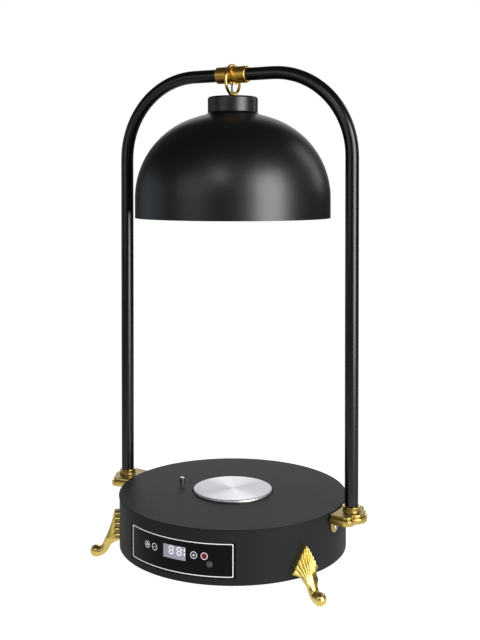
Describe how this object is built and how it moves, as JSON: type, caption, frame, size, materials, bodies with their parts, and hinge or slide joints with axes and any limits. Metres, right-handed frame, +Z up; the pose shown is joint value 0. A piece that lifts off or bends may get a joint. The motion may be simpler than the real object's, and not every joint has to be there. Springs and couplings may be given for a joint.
{
  "type": "food heat lamp",
  "caption": "Black domed food heat lamp hung by a gold ring from an arch over a round base with a heated disc, curved control panel, shell feet and brass brackets",
  "frame": {"origin": "on the table, under the middle of the base", "axes": "+X towards the right post as seen from the panel, +Y away from the panel, +Z up"},
  "size_m": [0.3742, 0.3391, 0.6526],
  "materials": {
    "drum_coat": "satin powder coat, dark grey",
    "shade_coat": "satin black enamel",
    "tube_coat": "semi-gloss black enamel",
    "antique_brass": "satin cast brass",
    "gold_plate": "polished gold-coloured plating",
    "disc_alloy": "turned and brushed",
    "bright_steel": "bright",
    "panel_film": "gloss black film with pale print",
    "black_plastic": "moulded",
    "white_ceramic": "glazed ceramic, recorded as gloss plastic",
    "display_face": "unlit display with pale segments",
    "insulation": "heat-proof moulding",
    "circuit_board": "laminate",
    "bulb_glass": "frosted face",
    "lead_sheath": "grey heat-proof sheath"
  },
  "bodies": {
    "base": {"base_top": "drum_coat", "base_wall": "drum_coat", "bottom_cover": "drum_coat", "cover_screws": "bright_steel", "heating_disc": "disc_alloy", "insulation_ring": "insulation", "heater_element": "white_ceramic", "heater_clamp": "bright_steel", "heater_nut": "bright_steel", "thermal_cutout": "black_plastic", "probe_bush": "black_plastic", "probe_spring": "bright_steel", "probe_guide": "bright_steel", "control_panel": "panel_film", "panel_carrier": "black_plastic", "display_module": "display_face", "control_board": "circuit_board", "board_screws": "bright_steel", "power_board": "circuit_board", "transformer": "black_plastic", "terminal_block": "white_ceramic", "cord_gland": "black_plastic", "gland_nut": "black_plastic", "foot_left": "gold_plate", "foot_right": "gold_plate", "foot_rear": "gold_plate", "foot_screws": "bright_steel", "bracket_left": "antique_brass", "bracket_right": "antique_brass", "bracket_screws": "bright_steel", "bracket_nuts": "bright_steel", "tube_grub_screws": "bright_steel", "arch_tube": "tube_coat", "collar": "antique_brass", "lead_eyelet": "gold_plate", "tube_lead": "lead_sheath", "lamp_flex": "lead_sheath"},
    "ring": {"hanging_ring": "gold_plate"},
    "lamp": {"cap_eye": "gold_plate", "eye_nuts": "bright_steel", "lamp_cap": "shade_coat", "lead_tail": "lead_sheath", "shade": "shade_coat", "holder_cap": "black_plastic", "holder_body": "white_ceramic", "holder_ring": "black_plastic"},
    "bulb": {"bulb_glass": "bulb_glass", "bulb_base": "bright_steel"},
    "probe": {"probe_pin": "bright_steel", "probe_clip": "bright_steel"}
  },
  "joints": [
    {"name": "ring_swing", "type": "hinge", "parent": "base", "child": "ring", "pos_m": [0, 0, 0.638], "axis": [1, 0, 0], "range_deg": [-25, 25], "deforming": ["lamp_flex"]},
    {"name": "lamp_sway", "type": "hinge", "parent": "ring", "child": "lamp", "pos_m": [0, 0, 0.6116], "axis": [0, 1, 0], "range_deg": [-9, 9], "deforming": ["lamp_flex"]},
    {"name": "bulb_out", "type": "slide", "parent": "lamp", "child": "bulb", "axis": [0, 0, -1], "range_m": [0, 0.03]},
    {"name": "probe_press", "type": "slide", "parent": "base", "child": "probe", "axis": [0, 0, -1], "range_m": [0, 0.007], "stiffness_N_per_m": 250, "springref_m": -0.003, "deforming": ["probe_spring"]}
  ]
}
